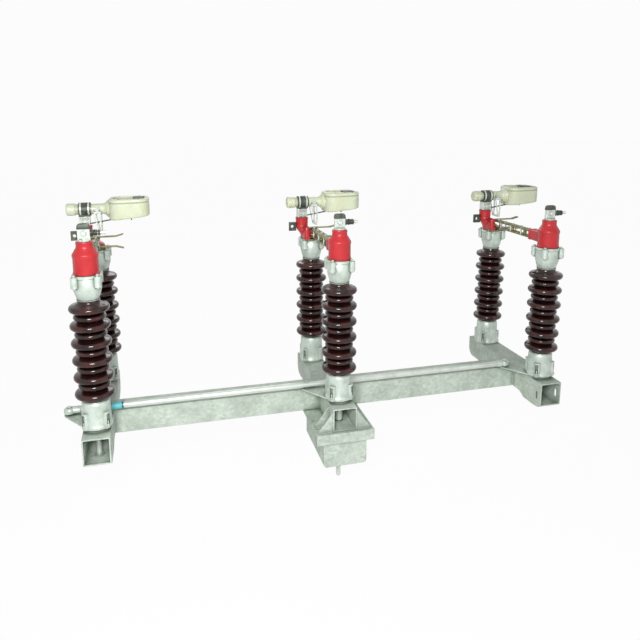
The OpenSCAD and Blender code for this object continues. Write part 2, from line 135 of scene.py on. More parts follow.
class SwitchColours(bpy.types.PropertyGroup):
    """Base colours of the switch's finishes and of the floor."""

    galvanised: colour("Galvanised steel", (198, 210, 198))
    casting: colour("Post castings", (206, 218, 208))
    glaze: colour("Porcelain glaze", (36, 17, 15))
    cover: colour("Hinge covers", (196, 40, 46))
    cream: colour("Interrupter housings", (220, 229, 203))
    contact: colour("Blades and jaws", (142, 136, 92))
    dark: colour("Clamps and brackets", (66, 72, 64))
    zinc: colour("Bright zinc fittings", (216, 224, 216))
    band: colour("Rod band", (92, 196, 204))
    floor: colour("Floor", (238, 238, 236))


class SwitchSizes(bpy.types.PropertyGroup):
    """Sizes of the finish, and those of the posts that a node's box doesn't tell."""

    steel_edge: size("Steel edge radius", "Rounding on the folded steelwork", 0.0022)
    cast_edge: size("Casting edge radius", "Rounding on the post castings", 0.0025)
    metal_edge: size("Contact edge radius", "Rounding on the blades and jaws", 0.0010)
    core_r: size("Porcelain core radius", "Radius of the porcelain between sheds", 0.0375)
    small_shed_r: size("Small shed radius", "Radius of the sheds between the large ones", 0.0545)
    lip: size("Shed lip radius", "Half the thickness of a large shed's lip", 0.0122)
    nut: size("Nut radius", "Radius over the corners of a casting's nut", 0.0085)
    weld: size("Weld radius", "Radius of a weld bead", 0.0032)
    large_sheds: IntProperty(
        name="Large sheds", description="Large sheds on a post", default=6, min=2, max=8,
    )


def sizes():
    """The scene's sizes, once the add-on is registered."""
    return bpy.context.scene.switch_sizes


def colours():
    """The scene's colours, once the add-on is registered."""
    return bpy.context.scene.switch_colours


# ---- shader expressions ----

class Value:
    """A shader socket. Arithmetic on it adds the Math or Vector Math node for the sum."""

    def __init__(self, shader, socket):
        self.shader = shader
        self.socket = socket

    def _sum(self, operation, a, b):
        """One Math node, or a Vector Math node where either side is a vector."""
        vector = "VECTOR" in {getattr(getattr(v, "socket", None), "type", "") for v in (a, b)}
        kind = "ShaderNodeVectorMath" if vector else "ShaderNodeMath"
        if vector:
            a, b = [(v, v, v) if isinstance(v, (int, float)) else v for v in (a, b)]
        return self.shader.node(kind, {"operation": operation}, {0: a, 1: b})[0]

    def __add__(self, other):
        return self._sum("ADD", self, other)

    def __radd__(self, other):
        return self._sum("ADD", other, self)

    def __sub__(self, other):
        return self._sum("SUBTRACT", self, other)

    def __rsub__(self, other):
        return self._sum("SUBTRACT", other, self)

    def __mul__(self, other):
        return self._sum("MULTIPLY", self, other)

    def __rmul__(self, other):
        return self._sum("MULTIPLY", other, self)

    def __truediv__(self, other):
        return self._sum("DIVIDE", self, other)


class Shader:
    """A material's node tree with one Principled surface."""

    def __init__(self, name):
        self.material = bpy.data.materials.new(name)
        self.material.use_nodes = True
        self.tree = self.material.node_tree
        self.tree.nodes.clear()
        self.surface = self.tree.nodes.new("ShaderNodeBsdfPrincipled")
        self.output = self.tree.nodes.new("ShaderNodeOutputMaterial")
        self.tree.links.new(self.surface.outputs[0], self.output.inputs[0])
        self.place = self.node("ShaderNodeTexCoord")["Object"]

    def node(self, kind, settings=None, values=None):
        """Adds a node: its settings first, then a value or a link on each named socket."""
        made = self.tree.nodes.new(kind)
        for key, value in (settings or {}).items():
            if key == "stops":
                self._stops(made.color_ramp, value)
            else:
                setattr(made, key, value)
        for key, value in (values or {}).items():
            if isinstance(value, Value):
                self.tree.links.new(value.socket, made.inputs[key])
            else:
                made.inputs[key].default_value = value
        return Outputs(self, made)

    @staticmethod
    def _stops(ramp, stops):
        """Sets a ramp's stops, each a position and a grey level."""
        while len(ramp.elements) < len(stops):
            ramp.elements.new(0.5)
        for element, (position, level) in zip(ramp.elements, stops):
            element.position = position
            element.color = (level, level, level, 1)

    def noise(self, scale, detail=3, rough=0.55):
        """Fractal noise, 0 to 1, with scale cells to the metre."""
        return self.node("ShaderNodeTexNoise", None, {
            "Vector": self.place, "Scale": scale, "Detail": detail, "Roughness": rough,
        })[0]

    def ramp(self, value, *stops):
        """A value carried through straight stretches between (position, level) stops."""
        return self.node("ShaderNodeValToRGB", {"stops": stops}, {0: value})[0]

    def mix(self, share, a, b):
        """Colour a where share is 0 and b where it is 1."""
        values = {0: share}
        for key, value in ((6, a), (7, b)):
            values[key] = value if isinstance(value, Value) else (*value[:3], 1)
        return self.node("ShaderNodeMix", {"data_type": "RGBA"}, values)[2]

    def open_share(self, distance, dark=0.30, light=0.92):
        """Mask of painted shade, from ambient occlusion: 0 in a crevice as narrow as distance, 1 on an
        open face.
        """
        near = self.node("ShaderNodeAmbientOcclusion", {"samples": 6}, {"Distance": distance})["AO"]
        return self.ramp(near, (dark, 0), (light, 1))

    def bump(self, height, strength, distance):
        """A normal tilted by a height field, distance metres deep at full strength."""
        return self.node("ShaderNodeBump", None, {
            "Height": height, "Strength": strength, "Distance": distance,
        })[0]

    def axis(self, index):
        """One coordinate of the place, in metres."""
        return self.node("ShaderNodeSeparateXYZ", None, {0: self.place})[index]

    def set(self, **values):
        """Sets or links the surface's sockets, with _ for a space in their names."""
        for key, value in values.items():
            socket = self.surface.inputs[key.replace("_", " ")]
            if isinstance(value, Value):
                self.tree.links.new(value.socket, socket)
            else:
                socket.default_value = value
        return self.material


class Outputs:
    """A node's outputs as shader values, by name or place."""

    def __init__(self, shader, made):
        self.shader = shader
        self.made = made

    def __getitem__(self, key):
        return Value(self.shader, self.made.outputs[key])


def scaled(rgb, factor):
    """A colour made lighter or darker, and kept at or below 1."""
    return tuple(min(1, c * factor) for c in rgb[:3])


MATERIALS = {}


def material(name):
    """The material of that name, made when it is first asked for."""
    if name not in MATERIALS:
        MATERIALS[name] = MAKERS[name]()
    return MATERIALS[name]


def galvanised_steel():
    """Dull zinc with spangle, grey-green stains and a fine grain, and painted shade in its crevices."""
    s = Shader("galvanised_steel")
    base = colours().galvanised
    spangle = s.node("ShaderNodeTexVoronoi", None, {"Vector": s.place, "Scale": 95.0})["Color"]
    grey = s.node("ShaderNodeSeparateColor", None, {0: spangle})[0]
    stain = s.ramp(s.noise(9, 6, 0.65), (0.42, 0), (0.72, 1))
    streak = s.ramp(s.noise(34, 5, 0.7), (0.5, 0), (0.78, 1))
    zinc = s.mix(grey, scaled(base, 0.86), scaled(base, 1.10))
    worn = s.mix(stain * 0.55, zinc, linear(128, 142, 128))
    dusty = s.mix(streak * 0.35, worn, linear(222, 226, 214))
    height = grey * 0.25 + s.noise(420, 3)
    # Painted shade: dark grey-green where ambient occlusion finds other surfaces within 3 cm, as in
    # crevices.
    shaded = s.mix(s.open_share(0.03), linear(96, 108, 94), dusty)
    return s.set(
        Base_Color=shaded, Metallic=0.10, Specular_IOR_Level=0.30,
        Roughness=0.48 + grey * 0.10 + stain * 0.14,
        Normal=s.bump(height, 0.16, 0.0006),
    )


def post_casting():
    """Galvanised casting: pale, softly pitted, darker in patches, with painted shade in its crevices."""
    s = Shader("post_casting")
    base = colours().casting
    patch = s.ramp(s.noise(26, 5, 0.6), (0.40, 0), (0.70, 1))
    skin = s.mix(patch * 0.6, scaled(base, 1.02), linear(150, 162, 150))
    pits = s.noise(260, 4, 0.6)
    # Painted shade: dark grey where ambient occlusion finds other surfaces within 16 mm, as in crevices.
    shaded = s.mix(s.open_share(0.016), linear(84, 94, 82), skin)
    return s.set(
        Base_Color=shaded, Metallic=0.30, Roughness=0.36 + patch * 0.16,
        Normal=s.bump(pits, 0.22, 0.0008),
    )


def brown_glaze():
    """Dark brown glaze, redder where it runs thin, under a clear gloss, with painted shade between its
    sheds and in other crevices.
    """
    s = Shader("brown_glaze")
    base = colours().glaze
    pool = s.ramp(s.noise(30, 4, 0.5), (0.35, 0), (0.68, 1))
    dust = s.ramp(s.noise(75, 6, 0.7), (0.56, 0), (0.80, 1))
    thin = s.mix(pool, scaled(base, 0.55), linear(66, 26, 22))
    skin = s.mix(dust * 0.12, thin, linear(120, 104, 92))
    # Painted shade: near black where ambient occlusion finds other surfaces within 25 mm, as between the
    # sheds.
    shaded = s.mix(s.open_share(0.025), linear(16, 9, 8), skin)
    return s.set(
        Base_Color=shaded, Roughness=0.17 + dust * 0.22, Specular_IOR_Level=0.38,
        Coat_Weight=0.15, Coat_Roughness=0.05,
        Normal=s.bump(s.noise(55, 3), 0.10, 0.0015),
    )


def red_cover():
    """Moulded red cover, faded and faintly mottled, with painted shade in its crevices."""
    s = Shader("red_cover")
    base = colours().cover
    fade = s.ramp(s.noise(24, 4), (0.36, 0), (0.70, 1))
    soil = s.ramp(s.noise(70, 5, 0.7), (0.55, 0), (0.80, 1))
    skin = s.mix(fade * 0.55, base, linear(172, 24, 34))
    soiled = s.mix(soil * 0.25, skin, linear(104, 34, 34))
    # Painted shade: dark red where ambient occlusion finds other surfaces within 2 cm, as in crevices.
    shaded = s.mix(s.open_share(0.02), linear(96, 18, 22), soiled)
    return s.set(
        Base_Color=shaded, Roughness=0.40 + soil * 0.18, Coat_Weight=0.12,
        Normal=s.bump(s.noise(190, 4), 0.16, 0.0006),
    )


def cream_housing():
    """Cast resin, cream with yellower and dirtier clouds, and painted shade in its crevices."""
    s = Shader("cream_housing")
    base = colours().cream
    cloud = s.ramp(s.noise(13, 4), (0.38, 0), (0.72, 1))
    dirt = s.ramp(s.noise(44, 6, 0.7), (0.54, 0), (0.80, 1))
    skin = s.mix(cloud * 0.5, base, linear(214, 214, 168))
    soiled = s.mix(dirt * 0.35, skin, linear(156, 158, 126))
    # Painted shade: dark olive where ambient occlusion finds other surfaces within 14 mm, as in
    # crevices.
    shaded = s.mix(s.open_share(0.014), linear(96, 98, 74), soiled)
    return s.set(
        Base_Color=shaded, Roughness=0.38 + dirt * 0.2, Coat_Weight=0.15,
        Normal=s.bump(s.noise(150, 3), 0.10, 0.0006),
    )


def contact_metal():
    """Tarnished contact metal, olive with brassy rubs."""
    s = Shader("contact_metal")
    base = colours().contact
    tarnish = s.ramp(s.noise(38, 5, 0.6), (0.36, 0), (0.70, 1))
    rub = s.ramp(s.noise(110, 4), (0.56, 0), (0.74, 1))
    skin = s.mix(tarnish * 0.7, base, linear(84, 84, 58))
    rubbed = s.mix(rub * 0.5, skin, linear(196, 184, 120))
    return s.set(
        Base_Color=rubbed, Metallic=0.65, Roughness=0.36 + tarnish * 0.18,
        Normal=s.bump(s.noise(300, 3), 0.14, 0.0004),
    )


def dark_fittings():
    """Weathered dark metal with paler edges of dust."""
    s = Shader("dark_fittings")
    base = colours().dark
    dust = s.ramp(s.noise(48, 6, 0.65), (0.46, 0), (0.76, 1))
    skin = s.mix(dust * 0.55, base, linear(132, 138, 122))
    return s.set(
        Base_Color=skin, Metallic=0.45, Roughness=0.44 + dust * 0.2,
        Normal=s.bump(s.noise(240, 4), 0.22, 0.0005),
    )


def bright_zinc():
    """Bright zinc plate, brushed and lightly spotted, with painted shade in its crevices."""
    s = Shader("bright_zinc")
    base = colours().zinc
    spot = s.ramp(s.noise(22, 4, 0.55), (0.46, 0), (0.78, 1))
    skin = s.mix(spot * 0.45, base, linear(160, 170, 156))
    # Painted shade: dark grey where ambient occlusion finds other surfaces within 1 cm, as in crevices.
    shaded = s.mix(s.open_share(0.010), linear(92, 98, 88), skin)
    return s.set(
        Base_Color=shaded, Metallic=0.35, Roughness=0.28 + spot * 0.14,
        Normal=s.bump(s.noise(380, 2), 0.05, 0.0003),
    )


def rod_band():
    """Wrapped blue band, darker at both ends."""
    s = Shader("rod_band")
    low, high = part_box("rod_band")
    half = (high.x - low.x) / 2
    off = s.node("ShaderNodeMath", {"operation": "ABSOLUTE"}, {0: s.axis(0) - (low.x + half)})[0]
    edge = s.ramp(off / half, (0.66, 0), (0.86, 1))
    skin = s.mix(s.noise(60, 4) * 0.4, colours().band, linear(140, 220, 224))
    banded = s.mix(edge, skin, linear(20, 96, 104))
    return s.set(
        Base_Color=banded, Roughness=0.42,
        Normal=s.bump(s.noise(200, 2), 0.12, 0.0004),
    )


MAKERS = {
    "galvanised_steel": galvanised_steel,
    "cast_fittings": post_casting,
    "brown_glaze": brown_glaze,
    "red_cover": red_cover,
    "cream_housing": cream_housing,
    "contact_metal": contact_metal,
    "dark_fittings": dark_fittings,
    "bright_pins": bright_zinc,
    "bright_fittings": bright_zinc,
    "blue_band": rod_band,
}


# ---- surfaces ----

MERGE = 2e-6  # metres within which two points are one
POINT = 1e-6  # share of an outline that closes a surface to a point
FLAT_ANGLE = math.radians(0.6)
SHARP_ANGLE = math.radians(34)
BEVEL_ANGLE = math.radians(38)


def arc(centre, radius, start, end, steps=6):
    """Points on a circle about centre between two angles in degrees."""
    a = np.radians(np.linspace(start, end, steps + 1))
    return np.stack([centre[0] + radius * np.cos(a), centre[1] + radius * np.sin(a)], axis=1)


def frame_about(axis):
    """Two unit vectors square to axis, and axis itself."""
    w = np.array(axis, float) / np.linalg.norm(axis)
    u = np.cross(w, (0, 0, 1)) if abs(w[2]) < 0.9 else np.array((1.0, 0, 0))
    u = u / np.linalg.norm(u)
    return u, np.cross(w, u), w


class Shell:
    """Surfaces on grids of two parameters, gathered into one mesh."""

    def __init__(self):
        self.points = []
        self.faces = []
        self.count = 0

    def grid(self, places, close_rows=False):
        """places[u, v] are points; neighbours make quads, and v closes on itself."""
        rows, columns = places.shape[:2]
        index = np.arange(rows * columns).reshape(rows, columns) + self.count
        index = np.concatenate([index, index[:, :1]], axis=1)
        if close_rows:
            index = np.concatenate([index, index[:1]], axis=0)
        quads = np.stack([index[:-1, :-1], index[:-1, 1:], index[1:, 1:], index[1:, :-1]], axis=-1)
        self.points.append(places.reshape(-1, 3))
        self.faces.append(quads.reshape(-1, 4))
        self.count += rows * columns
        return self

    def turned(self, profile, centre=(0, 0, 0), axis=(0, 0, 1), segments=48, closed=False):
        """A profile of (radius, height) turned about an axis: c + h w + r (u cos t + v sin t)."""
        radius, height = np.array(profile, float).T[:, :, None, None]
        u, v, w = frame_about(axis)
        t = np.linspace(0, 2 * math.pi, segments, endpoint=False)
        ring = np.cos(t)[:, None] * u + np.sin(t)[:, None] * v
        return self.grid(np.array(centre) + height * w + radius * ring[None], closed)

    def washer(self, centre, axis, inner, outer, thick):
        """A flat ring with its outer edges broken."""
        bevel = min(thick, outer - inner) * 0.25
        profile = [
            (inner, 0), (outer - bevel, 0), (outer, bevel),
            (outer, thick - bevel), (outer - bevel, thick), (inner, thick),
        ]
        return self.turned(profile, centre, axis, 28, True)

    def hexagon(self, centre, axis, radius, height):
        """A hexagon prism with a chamfered top: a profile turned in six steps."""
        profile = [
            (0, 0), (radius, 0), (radius, height * 0.8), (radius * 0.84, height), (0, height),
        ]
        return self.turned(profile, centre, axis, 6)

    def bolt(self, centre, axis, radius, stud=0.004):
        """A nut on its washer, with a rounded stud end standing out of it."""
        c, w = np.array(centre, float), np.array(axis, float)
        self.washer(c, w, radius * 0.5, radius * 1.25, radius * 0.22)
        self.hexagon(c + w * radius * 0.22, w, radius, radius * 0.85)
        top, sunk = radius * 1.07, 0.0005
        end = [
            (0, 0), (radius * 0.5, 0), (radius * 0.5, stud),
            (radius * 0.38, stud * 1.3), (0, stud * 1.3),
        ]
        return self.turned(end, c + w * (top - sunk), w, 16)

    def bead(self, start, end, radius):
        """A weld bead: a tube along a line, its radius rippling as a sine and closing at both ends."""
        step, wave = 0.0022, 0.0075
        a, b = np.array(start, float), np.array(end, float)
        length = np.linalg.norm(b - a)
        s = np.linspace(0, 1, max(8, int(length / step)))
        ripple = radius * (1 + 0.16 * np.sin(s * length * 2 * math.pi / wave))
        ends = np.clip(np.minimum(s, 1 - s) * length / radius, 0, 1)
        rounded = ripple * np.sqrt(1 - (1 - ends) ** 2)
        return self.turned(np.stack([rounded, s * length], axis=1), a, b - a, 10)

    def made(self, name, body, look, replaced=()):
        """The gathered surfaces as one piece that rides on a body."""
        points, faces = np.concatenate(self.points), np.concatenate(self.faces)
        mesh = bpy.data.meshes.new(name)
        mesh.from_pydata(points.tolist(), [], faces.tolist())
        return placed(name, mesh, body, look, replaced)


def placed(name, mesh, body, look, replaced=(), edge=0.0, flats=False):
    """Merges a mesh into closed shells, finishes its edges and puts it on its body."""
    work = bmesh.new()
    work.from_mesh(mesh)
    bmesh.ops.remove_doubles(work, verts=work.verts, dist=MERGE)
    if flats:
        bmesh.ops.dissolve_limit(work, angle_limit=FLAT_ANGLE, verts=work.verts, edges=work.edges)
    bmesh.ops.recalc_face_normals(work, faces=work.faces)
    work.to_mesh(mesh)
    work.free()
    mesh.shade_smooth()
    mesh.set_sharp_from_angle(angle=SHARP_ANGLE)
    mesh.materials.clear()
    mesh.materials.append(material(look))
    piece = bpy.data.objects.new(name, mesh)
    bpy.context.scene.collection.objects.link(piece)
    if edge:
        bevel = piece.modifiers.new("Edges", "BEVEL")
        bevel.width = edge
        bevel.segments = 3
        bevel.limit_method = "ANGLE"
        bevel.angle_limit = BEVEL_ANGLE
        bevel.miter_outer = "MITER_ARC" if look == "cast_fittings" else "MITER_SHARP"
    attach(piece, body)
    if replaced:
        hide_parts(*replaced)
    return piece


def body_of(node):
    """The body that a CAD node rides on."""
    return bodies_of(frame["nodes"][node])[0]


def softened(node, look, edge):
    """A copy of a CAD node with its flat faces joined and its edges rounded."""
    mesh = frame["nodes"][node].data.copy()
    return placed(f"{node}_finish", mesh, body_of(node), look, (node,), edge, flats=True)


def dressed(node, look):
    """A CAD node that keeps its shape and takes a finish."""
    mesh = frame["nodes"][node].data
    mesh.materials.clear()
    mesh.materials.append(material(look))


# ---- posts ----

def shed_profile(radius, lip, core, z):
    """A shed: drip edge below, round lip, and a top that falls away from the core."""
    return np.concatenate([
        [(core + 0.0005, z - lip - 0.0065), (core + 0.0035, z - lip - 0.0035)],
        [(core + 0.009, z - lip - 0.0012), (radius - lip - 0.004, z - lip + 0.0008)],
        arc((radius - lip, z), lip, -80, 72, 9),
        [(radius - lip - 0.008, z + lip + 0.0016), (core + 0.006, z + lip + 0.0050)],
        [(core + 0.002, z + lip + 0.0075), (core + 0.0003, z + lip + 0.0105)],
    ])


def post_profile():
    """The porcelain from the lower casting to the upper one, large and small sheds by turns."""
    s = sizes()
    low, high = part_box("porcelain_left")
    radius = (high.x - low.x) / 2
    below, above = 0.027, 0.032
    first, last = FOOT_TOP + below, CAP_LOW - above
    heights = np.linspace(first, last, 2 * s.large_sheds - 1)
    rows = [[(0, FOOT_TOP), (s.core_r, FOOT_TOP)]]
    for turn, z in enumerate(heights):
        if turn % 2 == 0:
            rows.append(shed_profile(radius, s.lip, s.core_r, z))
        else:
            rows.append(shed_profile(s.small_shed_r, s.lip * 0.85, s.core_r, z))
    rows.append([(s.core_r, CAP_LOW), (0, CAP_LOW)])
    return np.concatenate(rows)


def build_porcelains():
    """The glazed posts: one profile turned about each pole's front and rear axis."""
    profile = post_profile()
    for pole in POLES:
        Shell().turned(profile, (POLE_X[pole], FRONT_Y, 0), segments=80).made(
            f"porcelain_{pole}_glazed", f"rotor_{pole}", "brown_glaze", (f"porcelain_{pole}",))
    rear = Shell()
    for pole in POLES:
        rear.turned(profile, (POLE_X[pole], REAR_Y, 0), segments=80)
    rear.made("rear_porcelains_glazed", "frame", "brown_glaze", ("rear_porcelains",))


def cement(shell, x, y):
    """The cement that shows between porcelain and castings: a low cone at each end."""
    r = sizes().core_r
    lower = [(r - 0.002, 0), (r + 0.0055, 0), (r + 0.004, 0.0028), (r - 0.001, 0.0048)]
    upper = [(r - 0.002, 0), (r + 0.0015, 0), (r + 0.001, 0.0022), (r - 0.001, 0.0032)]
    shell.turned(lower, (x, y, FOOT_TOP), (0, 0, 1), 56, True)
    shell.turned(upper, (x, y, CAP_LOW), (0, 0, -1), 56, True)


def rim(shell, x, y):
    """The upper casting's bright rim: a rounded ring let into its top."""
    low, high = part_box("cap_left")
    outer = (high.x - low.x) / 2
    profile = [
        (outer - 0.009, -0.011), (outer - 0.0020, -0.011), (outer, -0.009),
        (outer, -0.003), (outer - 0.0020, -0.0005), (outer - 0.009, -0.0005),
    ]
    shell.turned(profile, (x, y, POST_TOP), segments=64, closed=True)


def corners(x, y, radius):
    """The four diagonal places round a post, at one radius from its axis."""
    turns = np.radians([45, 135, 225, 315])
    return [(x + radius * math.cos(t), y + radius * math.sin(t)) for t in turns]


def post_nuts(shell, x, y, foot_low):
    """Nuts in the recesses of the lower casting and on the ears of the upper one."""
    nut = sizes().nut
    low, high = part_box("foot_left")
    flange_share = 1.078  # the flange's radius over the casting's own
    foot_r = (high.x - low.x) / 2 / flange_share
    recess_r, ear_r = foot_r + 0.0062, 0.053
    for px, py in corners(x, y, recess_r):
        shell.bolt((px, py, foot_low + 0.0092), (0, 0, 1), nut * 0.72, 0.010)
    for px, py in corners(x, y, ear_r):
        shell.bolt((px, py, POST_TOP - 0.0022), (0, 0, 1), nut * 0.74, 0.002)
        shell.hexagon((px, py, POST_TOP - 0.0400), (0, 0, -1), nut * 0.8, 0.006)


def build_castings():
    """The posts' castings with rounded edges, their cement rings, bright rims and nuts."""
    turning = [f"{kind}_{pole}" for pole in POLES for kind in ("foot", "cap")]
    for node in ["rear_feet", "rear_caps"] + turning:
        softened(node, "cast_fittings", sizes().cast_edge)
    rear_cement, rear_nuts = Shell(), Shell()
    for pole in POLES:
        x = POLE_X[pole]
        ring, nuts = Shell(), Shell()
        cement(ring, x, FRONT_Y)
        rim(ring, x, FRONT_Y)
        ring.made(f"cement_{pole}", f"rotor_{pole}", "cast_fittings")
        post_nuts(nuts, x, FRONT_Y, FOOT_LOW)
        nuts.made(f"post_nuts_{pole}", f"rotor_{pole}", "bright_fittings")
        cement(rear_cement, x, REAR_Y)
        rim(rear_cement, x, REAR_Y)
        post_nuts(rear_nuts, x, REAR_Y, ARM_TOP)
    rear_cement.made("rear_cement", "frame", "cast_fittings")
    rear_nuts.made("rear_post_nuts", "frame", "bright_fittings")


# ---- steel frame ----

def build_steel():
    """The folded steelwork with rounded edges, and the bearings as the CAD has them."""
    edge = sizes().steel_edge
    for node in ("cross_arms", "main_beam", "mounting_plate", "mechanism_box"):
        softened(node, "galvanised_steel", edge)
    softened("gussets", "galvanised_steel", edge * 0.5)
    dressed("bearings", "cast_fittings")


def build_welds():
    """Beads where the beam meets the arms and where the gussets meet arm and plate."""
    r, thick = sizes().weld, 0.006
    shell = Shell()
    arm_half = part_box("cross_arms")[1].x - POLE_X["right"]
    beam_low, beam_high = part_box("main_beam")
    plate_top = beam_low.z
    for pole, sides in (("left", (1,)), ("centre", (-1, 1)), ("right", (-1,))):
        for side in sides:
            x = POLE_X[pole] + side * arm_half
            for y in (beam_low.y, beam_high.y):
                shell.bead((x, y, beam_low.z), (x, y, beam_high.z), r)
            top = beam_high.z - 0.001
            shell.bead((x, beam_low.y, top), (x, beam_high.y, top), r * 0.7)
    gusset_low, gusset_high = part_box("gussets")
    for side in (-1, 1):
        x = side * arm_half
        end = side * (gusset_high.x - thick)
        for y in (gusset_low.y, gusset_low.y + thick, gusset_high.y - thick, gusset_high.y):
            shell.bead((x, y, plate_top), (x, y, gusset_high.z - 0.004), r * 0.7)
            shell.bead((x, y, plate_top), (end, y, plate_top), r * 0.7)
    shell.made("weld_beads", "frame", "galvanised_steel")


def build_box_fittings():
    """Screws that hold the box under the plate, and a gland ring at the shaft."""
    low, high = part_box("mechanism_box")
    screw, stud, row = 0.0062, 0.002, high.z - 0.020
    shell = Shell()
    for side, x in ((-1, low.x), (1, high.x)):
        for y in np.linspace(low.y + 0.035, high.y - 0.035, 4):
            shell.bolt((x, y, row), (side, 0, 0), screw, stud)
    for x in (low.x + 0.03, high.x - 0.03):
        shell.bolt((x, high.y, row), (0, 1, 0), screw, stud)
    shell.made("box_screws", "frame", "bright_fittings")
    bore, outer, tall = 0.0106, 0.023, 0.006
    gland = [(bore, 0), (outer, 0), (outer, tall / 2), (outer - 0.004, tall), (bore, tall)]
    Shell().turned(gland, (0, FRONT_Y, low.z), (0, 0, -1), 48, True).made(
        "shaft_gland", "frame", "cast_fittings")


# ---- cranks and rod ----

def build_drive():
    """Spindles, pins and cranks as in the CAD, and a turned sleeve, rod pipe and rod ends."""
    for node in ("spindle_left", "spindle_right", "drive_shaft", "rod_pins"):
        dressed(node, "bright_pins")
    for pole in POLES:
        softened(f"crank_{pole}", "galvanised_steel", 0.0014)
    dressed("rod_band", "blue_band")
    bore, outer, bottom, top = 0.0102, 0.015, 0.012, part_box("cross_arms")[1].z - 0.006
    collar = [(bore, bottom), (outer, bottom), (outer, top), (bore, top)]
    Shell().turned(collar, (0, FRONT_Y, 0), segments=40, closed=True).made(
        "shaft_sleeve", "rotor_centre", "bright_fittings")
    low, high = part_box("rod_tube")
    y, z = middle("rod_tube", 1), middle("rod_tube", 2)
    r, length, edge = (high.z - low.z) / 2, high.x - low.x, 0.0015
    pipe = np.concatenate([
        [(0, 0)], arc((r - edge, edge), edge, -90, 0, 4),
        arc((r - edge, length - edge), edge, 0, 90, 4), [(0, length)],
    ])
    Shell().turned(pipe, (low.x, y, z), (1, 0, 0), 40).made(
        "rod_pipe", "interphase_rod", "bright_fittings", ("rod_tube",))
    ends = Shell()
    end_low, end_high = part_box("rod_ends")
    end_r = (end_high.y - end_low.y) / 2
    lower, upper = 0.007, 0.009
    crown = np.concatenate([
        [(0, end_low.z)], arc((end_r - lower, end_low.z + lower), lower, -90, 0),
        arc((end_r - upper, end_high.z - upper), upper, 0, 90), [(0, end_high.z)],
    ])
    ferrule = [
        (0, 0.010), (r + 0.003, 0.010), (r + 0.003, 0.036), (r + 0.001, 0.040), (0, 0.040),
    ]
    for x, way in ((end_low.x + end_r, 1), (end_high.x - end_r, -1)):
        ends.turned(crown, (x, y, 0), segments=48)
        ends.turned(ferrule, (x, y, z), (way, 0, 0), 40)
    ends.made("rod_end_castings", "interphase_rod", "cast_fittings", ("rod_ends",))


# ---- covers and boots ----

def rounded_box(half_x, half_z, radius, steps=5):
    """Outline of a rectangle with round corners: a quarter circle about each corner's centre."""
    return np.concatenate([
        arc((sx * (half_x - radius), sz * (half_z - radius)), radius, start, start + 90, steps)
        for sx, sz, start in ((1, 1, 0), (-1, 1, 90), (-1, -1, 180), (1, -1, 270))
    ])


def level(outline, x, y, z):
    """An outline in X and Y laid flat at height z, about (x, y)."""
    return np.stack([x + outline[:, 0], y + outline[:, 1], np.full(len(outline), z)], axis=1)


def sleeve(shell, x, start, end, middle_z, half_x, half_z):
    """The cover's sleeve round the blade: rounded rectangles carried along Y, with a lip."""
    rows = []
    for y, grow, pinch in (
        (start, 0.0, POINT), (start, 0.0, 1.0), (end - 0.012, -0.0015, 1.0), (end - 0.010, 0.0, 1.0),
        (end - 0.002, 0.0, 1.0), (end, -0.002, 1.0), (end, -0.004, POINT),
    ):
        across, up = (rounded_box(half_x + grow, half_z + grow, 0.007) * pinch).T
        rows.append(np.stack([x + across, np.full(len(up), y), middle_z + up], axis=1))
    shell.grid(np.array(rows))


def build_hinge_covers():
    """Red covers: a profile with a flange, a shoulder and a bored neck, and a sleeve on each."""
    low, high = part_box("hinge_cover_centre")
    r = (high.x - low.x) / 2
    neck = r - 0.0155
    shoulder = COVER_TOP - 0.035
    bore, depth = 0.0125, 0.0305
    blade_low, blade_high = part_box("blade_centre")
    profile = np.concatenate([
        [(0, POST_TOP), (r - 0.002, POST_TOP), (r, POST_TOP + 0.002), (r, POST_TOP + 0.007)],
        [(r - 0.0018, POST_TOP + 0.009), (r - 0.0022, shoulder - 0.020), (r - 0.0006, shoulder - 0.017)],
        arc((r - 0.0075, shoulder - 0.010), 0.0070, 0, 50, 5),
        [(neck + 0.0045, shoulder + 0.009), (neck + 0.0015, shoulder + 0.013), (neck, shoulder + 0.017)],
        [(neck, COVER_TOP - 0.007), (neck + 0.0006, COVER_TOP - 0.006)],
        arc((neck - 0.0022, COVER_TOP - 0.0028), 0.0028, 0, 90, 4),
        [(bore, COVER_TOP), (bore, COVER_TOP - depth), (0, COVER_TOP - depth)],
    ])
    wall, start = 0.006, FRONT_Y + 0.034
    half_x = (blade_high.x - blade_low.x) / 2 + wall
    half_z = (blade_high.z - blade_low.z) / 2 + wall
    for pole in POLES:
        shell = Shell().turned(profile, (POLE_X[pole], FRONT_Y, 0), segments=72)
        sleeve(shell, POLE_X[pole], start, high.y, middle("blade_centre", 2), half_x, half_z)
        shell.made(
            f"hinge_cover_{pole}_moulded", f"rotor_{pole}", "red_cover", (f"hinge_cover_{pole}",))


def cheek(shell, x, y, low_z):
    """The boot's cheek over the post of the jaws: rounded rectangles drawn in towards a domed top."""
    half_x, half_y, corner = 0.013, 0.033, 0.010
    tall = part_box("jaws")[1].z - 0.0045 - low_z
    tip = rounded_box(half_x, half_y, corner) * POINT
    rows = [level(tip, x, y, low_z)]
    for share, grow in (
        (0.0, 0.0), (0.10, 0.0015), (0.30, 0.0005), (0.60, -0.0005), (0.84, -0.0010),
        (0.94, -0.0030), (0.985, -0.0065),
    ):
        outline = rounded_box(half_x + grow, half_y + grow, corner + min(grow, 0))
        rows.append(level(outline, x, y, low_z + share * tall))
    rows.append(level(tip, x, y, low_z + tall))
    shell.grid(np.array(rows))


